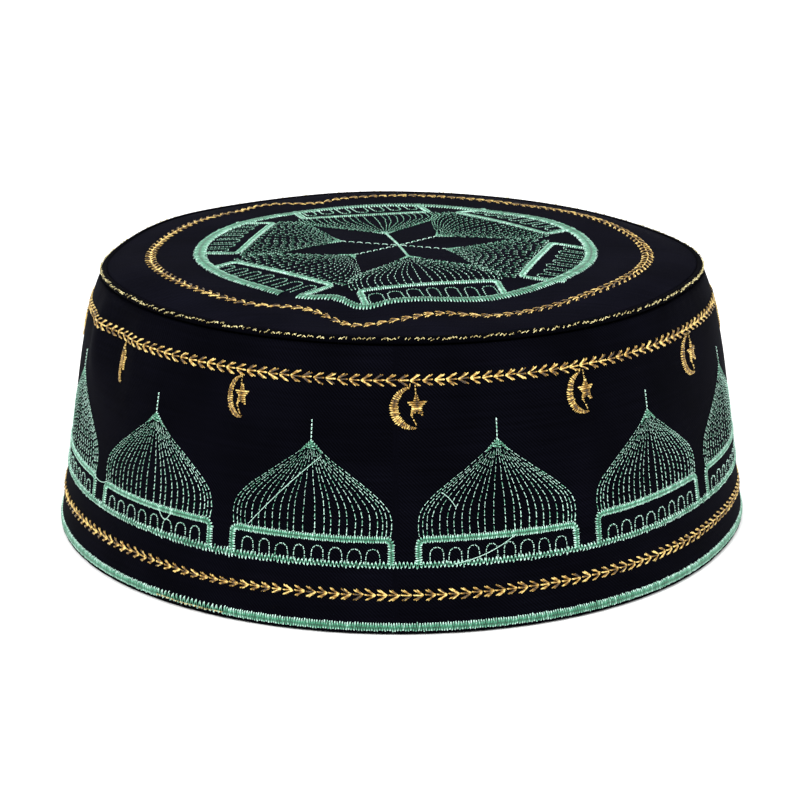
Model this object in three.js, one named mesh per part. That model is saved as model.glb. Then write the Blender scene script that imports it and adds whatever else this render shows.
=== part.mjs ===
// A stiff embroidered prayer cap: a nearly flat round crown panel on a tall side band that flares
// to an open rim, with a welt round the crown's edge and a bound hem. Millimetres, +Z up. The
// origin is the middle of the rim, on the surface that the cap stands on, and the front faces -Y.
import * as THREE from "three";

// Driving sizes.
const RIM_RADIUS = 92; // outside of the side band, where its line meets the surface
const SEAM_RADIUS = 78.9; // outside of the side band, where its line meets the crown
const SEAM_HEIGHT = 69.2; // middle of the welt above the surface
const CROWN_RISE = 3.9; // top of the crown panel above the middle of the welt
const BAND_WALL = 2.0; // stiffened cloth of the side
const CROWN_WALL = 1.6; // stiffened cloth of the crown
const WELT_WIDTH = 2.0; // the rolled seam, across
const WELT_DEPTH = 1.9; // the rolled seam, up and down
const HEM_WIDTH = 2.4; // bound edge, across
const HEM_DEPTH = 1.2; // bound edge, up and down
const HEM_ROUNDING = 0.35; // corners of the bound edge
const CLEARANCE = 0.3; // between pieces that are sewn together
const BAND_DENT = 0.6; // deepest soft ripple of the side
const CROWN_DENT = 2.0; // deepest soft dip of the crown
const TURN_STEPS = 96; // facets round the cap

// The flare of the side, from the rim (height 0) to the seam (height 1). height is a share of
// SEAM_HEIGHT, and inset a share of RIM_RADIUS - SEAM_RADIUS.
const FLARE = [
  { height: 0.0, inset: 0.0 },
  { height: 0.14, inset: 0.11 },
  { height: 0.24, inset: 0.2 },
  { height: 0.43, inset: 0.34 },
  { height: 0.65, inset: 0.51 },
  { height: 0.8, inset: 0.66 },
  { height: 0.88, inset: 0.77 },
  { height: 0.95, inset: 0.89 },
  { height: 1.0, inset: 1.0 },
];

// The crown's rise under its embroidery, the flat round it, and its shoulder. radius is a share of
// the crown panel's radius, and drop a share of CROWN_RISE.
const CROWN_FORM = [
  { radius: 0.0, drop: 0.0 },
  { radius: 0.2, drop: 0.01 },
  { radius: 0.38, drop: 0.03 },
  { radius: 0.49, drop: 0.06 },
  { radius: 0.55, drop: 0.15 },
  { radius: 0.61, drop: 0.26 },
  { radius: 0.67, drop: 0.35 },
  { radius: 0.73, drop: 0.385 },
  { radius: 0.8, drop: 0.39 },
  { radius: 0.86, drop: 0.42 },
  { radius: 0.91, drop: 0.48 },
  { radius: 0.96, drop: 0.62 },
  { radius: 1.0, drop: 0.8 },
];

// Soft ripples of the side. angle and turn (half the ripple's spread) are degrees, 0 at the front
// and growing towards +X. height and reach are shares of SEAM_HEIGHT, and depth of BAND_DENT.
const BAND_DENTS = [
  { angle: -68, turn: 9, height: 0.55, reach: 0.4, depth: -0.7 },
  { angle: -47, turn: 8, height: 0.5, reach: 0.45, depth: 0.5 },
  { angle: -29, turn: 9, height: 0.45, reach: 0.45, depth: -0.6 },
  { angle: -9, turn: 8, height: 0.55, reach: 0.4, depth: 0.6 },
  { angle: 14, turn: 9, height: 0.5, reach: 0.45, depth: -0.8 },
  { angle: 33, turn: 9, height: 0.45, reach: 0.4, depth: 0.6 },
  { angle: 55, turn: 9, height: 0.5, reach: 0.45, depth: -0.7 },
  { angle: 78, turn: 10, height: 0.55, reach: 0.4, depth: 0.4 },
  { angle: 104, turn: 11, height: 0.5, reach: 0.45, depth: -0.6 },
  { angle: 131, turn: 12, height: 0.45, reach: 0.4, depth: 0.6 },
  { angle: 158, turn: 11, height: 0.5, reach: 0.45, depth: -0.8 },
  { angle: -174, turn: 11, height: 0.55, reach: 0.4, depth: 0.6 },
  { angle: -146, turn: 12, height: 0.5, reach: 0.45, depth: -1.0 },
  { angle: -117, turn: 11, height: 0.5, reach: 0.4, depth: 0.5 },
  { angle: -92, turn: 10, height: 0.45, reach: 0.45, depth: -0.4 },
];

// Soft dips (minus) and swells of the crown. radius and reach are shares of the crown panel's
// radius, turn is half the spread in degrees, and depth is a share of CROWN_DENT.
const CROWN_DENTS = [
  { angle: -10, turn: 9, radius: 0.85, reach: 0.12, depth: -1.0 },
  { angle: 25, turn: 12, radius: 0.8, reach: 0.16, depth: -0.55 },
  { angle: 6, turn: 10, radius: 0.72, reach: 0.1, depth: 0.35 },
  { angle: -56, turn: 18, radius: 0.85, reach: 0.14, depth: 0.4 },
  { angle: 60, turn: 16, radius: 0.84, reach: 0.14, depth: 0.4 },
  { angle: -31, turn: 5, radius: 0.72, reach: 0.08, depth: -0.35 },
  { angle: 118, turn: 16, radius: 0.8, reach: 0.16, depth: 0.3 },
  { angle: 152, turn: 13, radius: 0.78, reach: 0.14, depth: -0.25 },
  { angle: -150, turn: 18, radius: 0.82, reach: 0.15, depth: -0.35 },
  { angle: -98, turn: 15, radius: 0.84, reach: 0.13, depth: -0.3 },
  { angle: -170, turn: 30, radius: 0.35, reach: 0.22, depth: -0.25 },
  { angle: 20, turn: 40, radius: 0.3, reach: 0.22, depth: 0.2 },
];

// Places that follow from the sizes above.
const weltRadius = SEAM_RADIUS - WELT_WIDTH / 2 + CLEARANCE;
const bandTop = SEAM_HEIGHT - WELT_DEPTH / 2 - CLEARANCE;
const bandFoot = HEM_DEPTH + CLEARANCE;
const crownRadius = weltRadius - WELT_WIDTH / 2 - CLEARANCE;

// Radius of the side's outer face at a height, by straight runs between the rows of FLARE.
function bandRadius(z) {
  const share = z / SEAM_HEIGHT;
  const next = Math.max(1, FLARE.findIndex((row) => row.height >= share));
  const [low, high] = [FLARE[next - 1], FLARE[next]];
  const part = (share - low.height) / (high.height - low.height);
  const inset = low.inset + (high.inset - low.inset) * part;
  return RIM_RADIUS - (RIM_RADIUS - SEAM_RADIUS) * inset;
}

// Smooth bump: 1 in the middle, 0 at one reach away and beyond.
function bump(distance, reach) {
  const share = Math.min(1, Math.abs(distance) / reach);
  return (1 + Math.cos(Math.PI * share)) / 2;
}

// Sum of the soft dents of a table at an angle and at a share of the height or radius.
function dentAt(table, angle, share, along) {
  let sum = 0;
  for (const dent of table) {
    const apart = ((angle - dent.angle + 540) % 360) - 180;
    sum += dent.depth * bump(apart, dent.turn * 2) * bump(share - dent[along], dent.reach * 2);
  }
  return sum;
}

// Turns a closed section, a list of [radius, height], round the Z axis, and then moves each
// vertex by what dent gives for its angle, radius and height: [outwards, upwards].
function turnedBody(section, dent) {
  const points = section.map(([radius, height]) => new THREE.Vector2(radius, height));
  const geometry = new THREE.LatheGeometry(points, TURN_STEPS);
  geometry.rotateX(Math.PI / 2);
  const position = geometry.attributes.position;
  for (let i = 0; i < position.count; i++) {
    const [x, y, z] = [position.getX(i), position.getY(i), position.getZ(i)];
    const radius = Math.hypot(x, y);
    if (radius < 1e-6) continue;
    const angle = THREE.MathUtils.radToDeg(Math.atan2(x, -y));
    const [out, up] = dent(angle, radius, z);
    position.setXYZ(i, x * (1 + out / radius), y * (1 + out / radius), z + up);
  }
  geometry.computeVertexNormals();
  return geometry;
}

const noDent = () => [0, 0];

// The side: outer face up, top edge in, inner face down, foot edge out.
function sideBand() {
  const heights = FLARE.map((row) => row.height * SEAM_HEIGHT);
  const between = heights.filter((z) => z > bandFoot + CLEARANCE && z < bandTop - CLEARANCE);
  const levels = [bandFoot, ...between, bandTop];
  const outer = levels.map((z) => [bandRadius(z), z]);
  const inner = levels.map((z) => [bandRadius(z) - BAND_WALL, z]).reverse();
  const section = [...outer, ...inner, outer[0]];
  return turnedBody(section, (angle, radius, z) => {
    const fade = Math.sin(Math.PI * ((z - bandFoot) / (bandTop - bandFoot)));
    const share = z / SEAM_HEIGHT;
    return [BAND_DENT * fade * dentAt(BAND_DENTS, angle, share, "height"), 0];
  });
}

// The crown: a sheet of even thickness from the middle to its edge, which the welt covers.
function crownPanel() {
  const top = CROWN_FORM.map((row) => [
    row.radius * crownRadius,
    SEAM_HEIGHT + CROWN_RISE * (1 - row.drop),
  ]);
  const under = top.map(([radius, z]) => [radius, z - CROWN_WALL]);
  return turnedBody([...under, ...top.reverse()], (angle, radius) => {
    const share = radius / crownRadius;
    const fade = Math.min(1, (1 - share) / (1 - CROWN_FORM.at(-3).radius));
    return [0, CROWN_DENT * fade * dentAt(CROWN_DENTS, angle, share, "radius")];
  });
}

// The welt: a rolled edge of round section between the crown and the side.
function seamWelt() {
  const sides = 8;
  const section = [];
  for (let i = 0; i <= sides; i++) {
    const turn = ((i % sides) / sides) * 2 * Math.PI;
    section.push([
      weltRadius + (WELT_WIDTH / 2) * Math.cos(turn),
      SEAM_HEIGHT + (WELT_DEPTH / 2) * Math.sin(turn),
    ]);
  }
  return turnedBody(section, noDent);
}

// The hem: a bound edge under the side, flat where it rests.
function hemBinding() {
  const middle = bandRadius(bandFoot) - BAND_WALL / 2;
  const [inside, outside] = [middle - HEM_WIDTH / 2, middle + HEM_WIDTH / 2];
  const cut = HEM_ROUNDING;
  const section = [
    [inside + cut, 0],
    [outside - cut, 0],
    [outside, cut],
    [outside, HEM_DEPTH - cut],
    [outside - cut, HEM_DEPTH],
    [inside + cut, HEM_DEPTH],
    [inside, HEM_DEPTH - cut],
    [inside, cut],
    [inside + cut, 0],
  ];
  return turnedBody(section, noDent);
}

const cotton = { metalness: 0, roughness: 0.85 };
const pieces = [
  { name: "crown_panel", geometry: crownPanel(), color: 0x181822 },
  { name: "side_band", geometry: sideBand(), color: 0x0b0c14 },
  { name: "seam_welt", geometry: seamWelt(), color: 0x0c0d15 },
  { name: "hem_binding", geometry: hemBinding(), color: 0x08090e },
];

const cap = new THREE.Group();
cap.name = "prayer_cap";
for (const { name, geometry, color } of pieces) {
  const mesh = new THREE.Mesh(geometry, new THREE.MeshStandardMaterial({ ...cotton, color }));
  mesh.name = name;
  cap.add(mesh);
}

export default cap;
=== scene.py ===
"""Looks of the embroidered prayer cap: stiffened black cotton under mint and gold rayon stitches.

Every stitch is a short arched thread laid on the cloth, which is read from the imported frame.
Lengths are millimetres and angles degrees, 0 at the front and growing towards +X, unless a name
says otherwise. Blender's own objects are in metres.
"""
import logging
import math
from abc import ABC, abstractmethod
from dataclasses import dataclass, field, replace
from enum import Enum
from typing import ClassVar

import bpy
import numpy as np
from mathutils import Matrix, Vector
from mathutils.bvhtree import BVHTree


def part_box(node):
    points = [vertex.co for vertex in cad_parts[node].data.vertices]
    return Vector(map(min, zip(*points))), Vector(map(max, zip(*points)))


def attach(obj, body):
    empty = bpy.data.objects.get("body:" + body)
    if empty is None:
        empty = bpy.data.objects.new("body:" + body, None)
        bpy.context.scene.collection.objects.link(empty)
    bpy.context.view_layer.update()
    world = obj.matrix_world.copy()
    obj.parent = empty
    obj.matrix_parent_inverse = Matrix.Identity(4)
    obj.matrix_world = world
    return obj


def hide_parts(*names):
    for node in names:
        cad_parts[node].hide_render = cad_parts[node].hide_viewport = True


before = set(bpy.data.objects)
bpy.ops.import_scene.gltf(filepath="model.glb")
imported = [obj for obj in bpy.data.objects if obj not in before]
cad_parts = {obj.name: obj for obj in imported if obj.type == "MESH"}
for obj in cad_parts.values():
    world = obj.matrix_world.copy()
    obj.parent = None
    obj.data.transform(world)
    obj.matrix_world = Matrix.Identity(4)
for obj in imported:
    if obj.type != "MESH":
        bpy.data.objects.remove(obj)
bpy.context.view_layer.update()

MM = 0.001
BODY = "root"
SEED = 41
Array = np.ndarray
Sockets = dict[str | int, object]
MATERIALS: dict[str, bpy.types.Material] = {}
log = logging.getLogger("prayer_cap")


class Way(Enum):
    """Which way the tips of a chevron chain point round the cap, seen from above."""

    WITH_ANGLE = 1
    AGAINST_ANGLE = -1


class Stitch(Enum):
    """How a thread lies on the cloth. The value is its row in the tables of Needlework."""

    RUNNING = 0
    SATIN = 1
    LAID = 2


def linear(code: str) -> tuple[float, float, float, float]:
    """Turns an sRGB hex colour to linear light.

    Args:
        code: Six hex digits, such as "7fc9ac".

    Returns:
        Red, green, blue and alpha for a shader socket.
    """
    parts = [int(code[i:i + 2], 16) / 255 for i in (0, 2, 4)]
    light = [p / 12.92 if p <= 0.04045 else ((p + 0.055) / 1.055) ** 2.4 for p in parts]
    return (light[0], light[1], light[2], 1.0)


def add_node(
    tree: bpy.types.NodeTree, kind: str, settings: Sockets | None = None,
    links: Sockets | None = None,
) -> bpy.types.Node:
    """Adds a shader node with its settings and links.

    Args:
        tree: The node tree to add to.
        kind: The node's type, without the leading "ShaderNode".
        settings: Values of the node's own properties, and of its inputs by name or number.
        links: The output that feeds each input, by the input's name or number.

    Returns:
        The new node.
    """
    node = tree.nodes.new("ShaderNode" + kind)
    for name, value in (settings or {}).items():
        if isinstance(name, str) and hasattr(node, name):
            setattr(node, name, value)
        else:
            node.inputs[name].default_value = value
    for name, output in (links or {}).items():
        tree.links.new(output, node.inputs[name])
    return node


def colour_ramp(node: bpy.types.Node, stops: list[tuple[float, str]]) -> None:
    """Sets a colour ramp's stops.

    Args:
        node: The ramp node.
        stops: Position and sRGB hex colour of each stop, in order.
    """
    ramp = node.color_ramp
    while len(ramp.elements) < len(stops):
        ramp.elements.new(0.5)
    for element, (position, code) in zip(ramp.elements, stops):
        element.position = position
        element.color = linear(code)


class Finish(ABC):
    """A real material. A subclass says what it is and adds the nodes that draw it."""

    name: str

    @abstractmethod
    def dress(self, tree: bpy.types.NodeTree) -> tuple[Sockets, Sockets]:
        """Adds the nodes of the finish.

        Args:
            tree: The material's node tree.

        Returns:
            The values and the links of the shader's own sockets.
        """

    def material(self) -> bpy.types.Material:
        """The node material, made once."""
        if self.name in MATERIALS:
            return MATERIALS[self.name]
        material = bpy.data.materials.new(self.name)
        material.use_nodes = True
        shader = material.node_tree.nodes["Principled BSDF"]
        values, links = self.dress(material.node_tree)
        for name, value in values.items():
            shader.inputs[name].default_value = value
        for name, output in links.items():
            material.node_tree.links.new(output, shader.inputs[name])
        MATERIALS[self.name] = material
        return material


# Scales of the wave node that make a diagonal band one unit wide: measured along an axis, and
# measured squarely across the band.
WAVE_ALONG = 0.628
WAVE_ACROSS = 0.444


@dataclass(frozen=True)
class RayonThread(Finish):
    """Trilobal rayon embroidery thread, two plies twisted and dyed: a silky, bright painted
    highlight runs across each stitch, painted shade deepens the colour where the thread dips into
    the cloth, and painted shade darkens the grooves between the plies."""

    name: str
    slot: str
    # The first colour is the thread in painted shade, the last in painted highlight, and between
    # them lies its own colour.
    shade_colour: str
    middle: str
    highlight_colour: str
    sides: int = 4
    roughness: float = 0.42
    sheen: float = 0.25
    ply_pitch: float = 0.9  # real twist is about 0.5, drawn coarser so that it shows

    def dress(self, tree: bpy.types.NodeTree) -> tuple[Sockets, Sockets]:
        """Adds the dye with its painted highlights and shade, by each stitch's own tone, and the
        twist of the plies with painted shade in its grooves.
        """
        # The tone attribute holds each stitch's own random tone plus the painted highlights and
        # painted shade along it.
        tone = add_node(tree, "Attribute", {"attribute_name": "tone"})
        dye_and_painted_light = add_node(tree, "ValToRGB", links={"Fac": tone.outputs["Fac"]})
        colour_ramp(dye_and_painted_light, [(0.0, self.shade_colour), (0.45, self.middle), (1.0, self.highlight_colour)])
        uv = add_node(tree, "UVMap", {"uv_map": "thread"})
        twist = add_node(
            tree, "Mapping", {"Scale": (1 / self.ply_pitch, 1.0, 1.0)},
            {"Vector": uv.outputs["UV"]},
        )
        ply = add_node(
            tree, "TexWave",
            {"wave_type": "BANDS", "bands_direction": "DIAGONAL", "Scale": WAVE_ALONG},
            {"Vector": twist.outputs["Vector"]},
        )
        # Painted shade: the grooves between the plies are darkened in the colour, as well as
        # bumped.
        groove_shade = add_node(tree, "ValToRGB", links={"Fac": ply.outputs["Fac"]})
        colour_ramp(groove_shade, [(0.0, "a8a8a8"), (0.4, "ffffff")])
        shade = add_node(
            tree, "Mix", {"data_type": "RGBA", "blend_type": "MULTIPLY", 0: 0.8},
            {6: dye_and_painted_light.outputs["Color"], 7: groove_shade.outputs["Color"]},
        )
        bump = add_node(
            tree, "Bump", {"Strength": 0.35, "Distance": 0.06 * MM},
            {"Height": ply.outputs["Fac"]},
        )
        values = {
            "Roughness": self.roughness, "Sheen Weight": self.sheen, "Sheen Roughness": 0.35,
            "Sheen Tint": linear(self.highlight_colour),
        }
        return values, {"Base Color": shade.outputs[2], "Normal": bump.outputs["Normal"]}


@dataclass(frozen=True)
class CottonTwill(Finish):
    """Black dyed cotton twill, stiffened: almost no gloss, fine diagonal ribs and a faint
    blue-grey bloom of loose fibres where the light grazes it."""

    name: str
    slot: str
    dark: str
    light: str
    roughness: float
    sheen: float
    gloss: float
    rib_pitch: float = 0.62  # real ribs are about 0.4 apart, drawn coarser so that they show
    slub_length: float = 26.0
    slub_width: float = 0.9
    slub_angle: float = 90.0
    streak: float = 0.5
    cloud_size: float = 20.0
    bloom: str = "7c86b8"

    def dress(self, tree: bpy.types.NodeTree) -> tuple[Sockets, Sockets]:
        """Adds the ribs of the weave, the thicker yarns and the uneven dye."""
        uv = add_node(tree, "UVMap", {"uv_map": "cloth"})
        yarn = {
            "Rotation": (0, 0, math.radians(self.slub_angle)),
            "Scale": (1 / self.slub_length, 1 / self.slub_width, 1),
        }
        turn = add_node(tree, "Mapping", yarn, {"Vector": uv.outputs["UV"]})
        slub = add_node(
            tree, "TexNoise", {"Scale": 1.0, "Detail": 3.0, "Roughness": 0.6},
            {"Vector": turn.outputs["Vector"]},
        )
        cloud = add_node(
            tree, "TexNoise", {"Scale": 1 / self.cloud_size, "Detail": 2.0},
            {"Vector": uv.outputs["UV"]},
        )
        rib = add_node(
            tree, "TexWave",
            {"wave_type": "BANDS", "bands_direction": "DIAGONAL",
             "Scale": WAVE_ACROSS / self.rib_pitch, "Distortion": 0.4, "Detail Scale": 0.4},
            {"Vector": uv.outputs["UV"]},
        )
        weave = add_node(
            tree, "Math", {"operation": "MULTIPLY_ADD", 1: 2.0 * self.streak},
            {0: slub.outputs["Fac"], 2: rib.outputs["Fac"]},
        )
        level = add_node(
            tree, "Math", {"operation": "MULTIPLY_ADD", 1: 0.42, 2: -0.15},
            {0: weave.outputs[0]},
        )
        lit = add_node(
            tree, "Math", {"operation": "MULTIPLY"},
            {0: level.outputs[0], 1: cloud.outputs["Fac"]},
        )
        dye_and_painted_light = add_node(tree, "ValToRGB", links={"Fac": lit.outputs[0]})
        colour_ramp(dye_and_painted_light, [(0.0, self.dark), (0.55, self.light)])
        bump = add_node(
            tree, "Bump", {"Strength": 0.3, "Distance": 0.12 * MM},
            {"Height": weave.outputs[0]},
        )
        values = {
            "Roughness": self.roughness, "Specular IOR Level": self.gloss,
            "Sheen Weight": self.sheen, "Sheen Roughness": 0.45, "Sheen Tint": linear(self.bloom),
        }
        return values, {"Base Color": dye_and_painted_light.outputs["Color"], "Normal": bump.outputs["Normal"]}


@dataclass(frozen=True)
class StudioPaper(Finish):
    """Matte white background paper, with a barely visible tooth."""

    name: str = "studio_paper"
    colour: str = "f4f4f4"
    tooth: float = 0.8

    def dress(self, tree: bpy.types.NodeTree) -> tuple[Sockets, Sockets]:
        """Adds the tooth of the paper."""
        place = add_node(tree, "TexCoord")
        grain = add_node(
            tree, "TexNoise", {"Scale": 1 / (self.tooth * MM), "Detail": 2.0},
            {"Vector": place.outputs["Object"]},
        )
        bump = add_node(
            tree, "Bump", {"Strength": 0.05, "Distance": 0.1 * MM},
            {"Height": grain.outputs["Fac"]},
        )
        values = {"Base Color": linear(self.colour), "Roughness": 0.9}
        return values, {"Normal": bump.outputs["Normal"]}


# Colours of each thread: painted shade, its own colour, painted highlight.
MINT = RayonThread("rayon_thread_mint", "mint_thread", "12442f", "469c77", "d0f7e8")
GOLD = RayonThread("rayon_thread_gold", "gold_thread", "281803", "9c711a", "f6d680", sides=5)
PALE_GOLD = RayonThread("rayon_thread_pale_gold", "seam_thread", "40340f", "96823c", "ece2a8")
CROWN_CLOTH = CottonTwill(
    "cotton_satin_navy_black", "crown_cloth", "040407", "0e0e17", 0.65, 0.003, 0.002,
    slub_angle=0.0, streak=1.0,
)
BAND_CLOTH = CottonTwill(
    "cotton_twill_black", "band_cloth", "010102", "0c0c16", 0.8, 0.008, 0.01,
)
WELT_CLOTH = CottonTwill(
    "cotton_roll_black", "welt_cloth", "010102", "06060e", 0.8, 0.003, 0.01,
)
HEM_CLOTH = CottonTwill(
    "cotton_binding_black", "hem_cloth", "010102", "06060d", 0.8, 0.003, 0.01,
)


def smooth_rows(values: Array, reach: float, around: bool) -> Array:
    """Smooths an array along its first axis with a bell of weights.

    Args:
        values: The samples.
        reach: Spread of the bell, in samples.
        around: Whether the last row meets the first.

    Returns:
        The smoothed samples, as many as given.
    """
    half = int(math.ceil(3 * reach))
    steps = np.arange(-half, half + 1)
    weights = np.exp(-0.5 * (steps / reach) ** 2)
    weights /= weights.sum()
    padding = ((half, half), (0, 0))
    if around:
        padded = np.pad(values, padding, mode="wrap")
    else:
        padded = np.pad(values, padding, mode="reflect", reflect_type="odd")
    return sum(w * padded[i:i + len(values)] for i, w in enumerate(weights))


def soft_curve(at: Array, xs: Array, ys: Array) -> Array:
    """Reads a smooth curve through a few points.

    Args:
        at: Where to read it.
        xs: The points' places, rising.
        ys: The points' values.

    Returns:
        The values there.
    """
    slopes = np.gradient(ys, xs)
    i = np.clip(np.searchsorted(xs, at) - 1, 0, len(xs) - 2)
    span = xs[i + 1] - xs[i]
    t = np.clip((at - xs[i]) / span, 0, 1)
    return (
        ys[i] * (2 * t**3 - 3 * t**2 + 1) + ys[i + 1] * (3 * t**2 - 2 * t**3)
        + slopes[i] * span * (t**3 - 2 * t**2 + t) + slopes[i + 1] * span * (t**3 - t**2)
    )


def round_points(radius: Array, turn: Array, height: Array) -> Array:
    """Points at a radius, an angle in radians and a height."""
    return np.stack([radius * np.sin(turn), -radius * np.cos(turn), height], -1)


def tree_of(node: str) -> BVHTree:
    """The search tree of a frame node's faces, in metres.

    Args:
        node: The node's name.

    Returns:
        The tree.
    """
    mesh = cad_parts[node].data
    return BVHTree.FromPolygons(
        [v.co for v in mesh.vertices], [p.vertices for p in mesh.polygons]
    )


# Each row of the next four tables is a soft bump: its angle and half its spread in degrees, its
# height (or radius on the crown) and half its reach, and its size in millimetres. Hands have
# pushed the stiff side outwards and its shoulder down, the needle pulled the rows of the side
# down, and it pulled the rings of the crown outwards.
SWELLS = (
    (95.0, 34.0, 35.0, 900.0, 2.2),
    (-68.0, 6.0, 56.0, 16.0, 1.3),
    (-58.0, 6.0, 56.0, 16.0, -1.1),
)
DROPS = (
    (-98.0, 34.0, 80.0, 30.0, 2.4),
    (-145.0, 34.0, 80.0, 30.0, 0.8),
    (112.0, 60.0, 80.0, 30.0, 1.8),
    (160.0, 40.0, 80.0, 30.0, 0.7),
)
SAGS = ((-30.0, 18.0, 13.0, 6.0, -1.3),)
WANDER = (
    (-8.0, 8.0, 52.0, 8.0, 2.8),
    (-18.0, 7.0, 52.0, 8.0, -1.6),
    (-22.0, 14.0, 66.0, 8.0, -4.3),
    (-8.5, 9.0, 66.0, 8.0, 2.2),
    (10.0, 10.0, 66.0, 8.0, -2.2),
    (118.0, 40.0, 66.0, 8.0, -1.0),
    (-145.0, 10.0, 66.0, 8.0, 3.0),
    (-158.0, 9.0, 66.0, 8.0, -3.2),
    (95.0, 50.0, 52.0, 8.0, -0.8),
)


def bump_sum(table: tuple[tuple[float, ...], ...], turn: Array, height: Array) -> Array:
    """Sum of a table's soft bumps.

    Args:
        table: Rows of angle, spread, height, reach and size.
        turn: Angles in radians.
        height: Heights above the foot.

    Returns:
        The sum at each angle and height.
    """
    total = np.zeros(np.broadcast(turn, height).shape)
    for angle, spread, middle, reach, size in table:
        apart = np.abs((np.degrees(turn) - angle + 180) % 360 - 180) / spread
        above = np.abs(height - middle) / reach
        soft = [(1 + np.cos(np.pi * np.minimum(d, 1))) / 2 for d in (apart, above)]
        total = total + size * soft[0] * soft[1]
    return total


class Face(ABC):
    """A face of the cap as an offset over angle and a second measure, read from the frame."""

    turn_steps: ClassVar[int] = 360
    spread_round: ClassVar[float] = 2.0  # samples that are smoothed together, round the cap
    spread_along: ClassVar[float] = 2.6  # and millimetres, along the second measure
    nudge: ClassVar[tuple[float, float]] = (0.004, 0.4)  # radians and millimetres, for normals
    facing: ClassVar[float] = 1.0

    def __init__(self, node: str, low: float, high: float, steps: int) -> None:
        """Samples the frame and smooths what its facets leave.

        Args:
            node: The frame node that holds the face.
            low: Least second measure.
            high: Greatest second measure.
            steps: Samples along the second measure.
        """
        tree = tree_of(node)
        self.low, self.high, self.steps = low, high, steps
        measures = np.linspace(low, high, steps)
        grid = np.array([
            [self.sample(tree, 2 * math.pi * i / self.turn_steps, m) for m in measures]
            for i in range(self.turn_steps)
        ])
        grid = smooth_rows(grid, self.spread_round, around=True)
        spacing = (high - low) / (steps - 1)
        self.grid = smooth_rows(grid.T, self.spread_along / spacing, around=False).T

    @abstractmethod
    def sample(self, tree: BVHTree, turn: float, measure: float) -> float:
        """The offset at an angle in radians and a second measure."""

    @abstractmethod
    def point(self, turn: Array, measure: Array) -> Array:
        """Points of the face in millimetres, for angles in radians and second measures."""

    def offset(self, turn: Array, measure: Array) -> Array:
        """Reads the offset between the samples.

        Args:
            turn: Angles in radians.
            measure: Second measures.

        Returns:
            The offsets.
        """
        a = np.mod(np.asarray(turn, float) / (2 * math.pi), 1.0) * self.turn_steps
        b = (np.asarray(measure, float) - self.low) / (self.high - self.low)
        b = np.clip(b, 0, 1) * (self.steps - 1)
        i, j = np.floor(a).astype(int), np.minimum(np.floor(b).astype(int), self.steps - 2)
        s, t = a - i, b - j
        i, k = i % self.turn_steps, (i + 1) % self.turn_steps
        near = self.grid[i, j] * (1 - t) + self.grid[i, j + 1] * t
        far = self.grid[k, j] * (1 - t) + self.grid[k, j + 1] * t
        return near * (1 - s) + far * s

    def lifted(self, turn: Array, measure: Array) -> tuple[Array, Array]:
        """Points of the face and its outward normals.

        Args:
            turn: Angles in radians.
            measure: Second measures.

        Returns:
            Points in millimetres, and unit normals.
        """
        step, rise = self.nudge
        spot = self.point(turn, measure)
        along = self.point(turn + step, measure) - self.point(turn - step, measure)
        across = self.point(turn, measure + rise) - self.point(turn, measure - rise)
        normal = np.cross(along, across)
        size = np.linalg.norm(normal, axis=-1, keepdims=True)
        return spot, self.facing * normal / np.maximum(size, 1e-9)


class BandFace(Face):
    """The side's outer face: radius over angle and height."""

    outside: ClassVar[float] = 0.14  # metres, further out than any of the cap

    def sample(self, tree: BVHTree, turn: float, measure: float) -> float:
        """The radius where a level line from outside meets the side."""
        out = Vector((math.sin(turn), -math.cos(turn), 0))
        start = out * self.outside + Vector((0, 0, measure * MM))
        hit = tree.ray_cast(start, -out)[0]
        return math.hypot(hit.x, hit.y) / MM

    def point(self, turn: Array, measure: Array) -> Array:
        """Points of the side for angles in radians and heights."""
        radius = self.offset(turn, measure) + bump_sum(SWELLS, turn, measure)
        return round_points(radius, turn, measure - bump_sum(DROPS, turn, measure))


class CrownFace(Face):
    """The crown's upper face: height over angle and radius."""

    facing: ClassVar[float] = -1.0
    above: ClassVar[float] = 0.12  # metres, higher than any of the cap
    hub: ClassVar[float] = 0.05  # least radius that is read, as a ray could miss the middle
    shoulder: ClassVar[tuple[float, float]] = (58.0, 19.0)  # its first radius and its breadth
    seam_height: ClassVar[float] = 69.2

    def sample(self, tree: BVHTree, turn: float, measure: float) -> float:
        """The height where a plumb line meets the crown."""
        at = Vector((math.sin(turn), -math.cos(turn), 0)) * max(measure, self.hub) * MM
        hit = tree.ray_cast(at + Vector((0, 0, self.above)), Vector((0, 0, -1)))[0]
        return hit.z / MM

    def point(self, turn: Array, measure: Array) -> Array:
        """Points of the crown for angles in radians and radii."""
        start, breadth = self.shoulder
        edge = np.clip((np.abs(measure) - start) / breadth, 0, 1) ** 2
        drop = edge * bump_sum(DROPS, turn, self.seam_height)
        height = self.offset(turn, np.abs(measure)) - drop
        return round_points(
            measure + edge * bump_sum(SWELLS, turn, self.seam_height), turn, height,
        )

    def over(self, x: Array, y: Array) -> tuple[Array, Array]:
        """Points of the crown and its normals above flat places."""
        return self.lifted(np.arctan2(x, -y), np.hypot(x, y))


class Patch(ABC):
    """A flat drawing sheet laid on the cap: u runs to the right and v up, in millimetres."""

    @abstractmethod
    def place(self, uv: Array) -> tuple[Array, Array]:
        """Points in millimetres and normals for rows of [u, v]."""


@dataclass
class BandPatch(Patch):
    """A sheet wrapped round the side: v is the height above the surface."""

    face: BandFace
    centre: float
    radius: float

    def place(self, uv: Array) -> tuple[Array, Array]:
        """Points in millimetres and normals for rows of [u, v]."""
        turn = math.radians(self.centre) + uv[:, 0] / self.radius
        return self.face.lifted(turn, uv[:, 1] + bump_sum(SAGS, turn, uv[:, 1]))


@dataclass
class MovedPatch(Patch):
    """Another sheet, made narrower and moved aside and up."""

    under: Patch
    squeeze: float
    shift: float
    lift: float

    def place(self, uv: Array) -> tuple[Array, Array]:
        """Points in millimetres and normals for rows of [u, v]."""
        return self.under.place(uv * [self.squeeze, 1.0] + [self.shift, self.lift])


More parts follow.
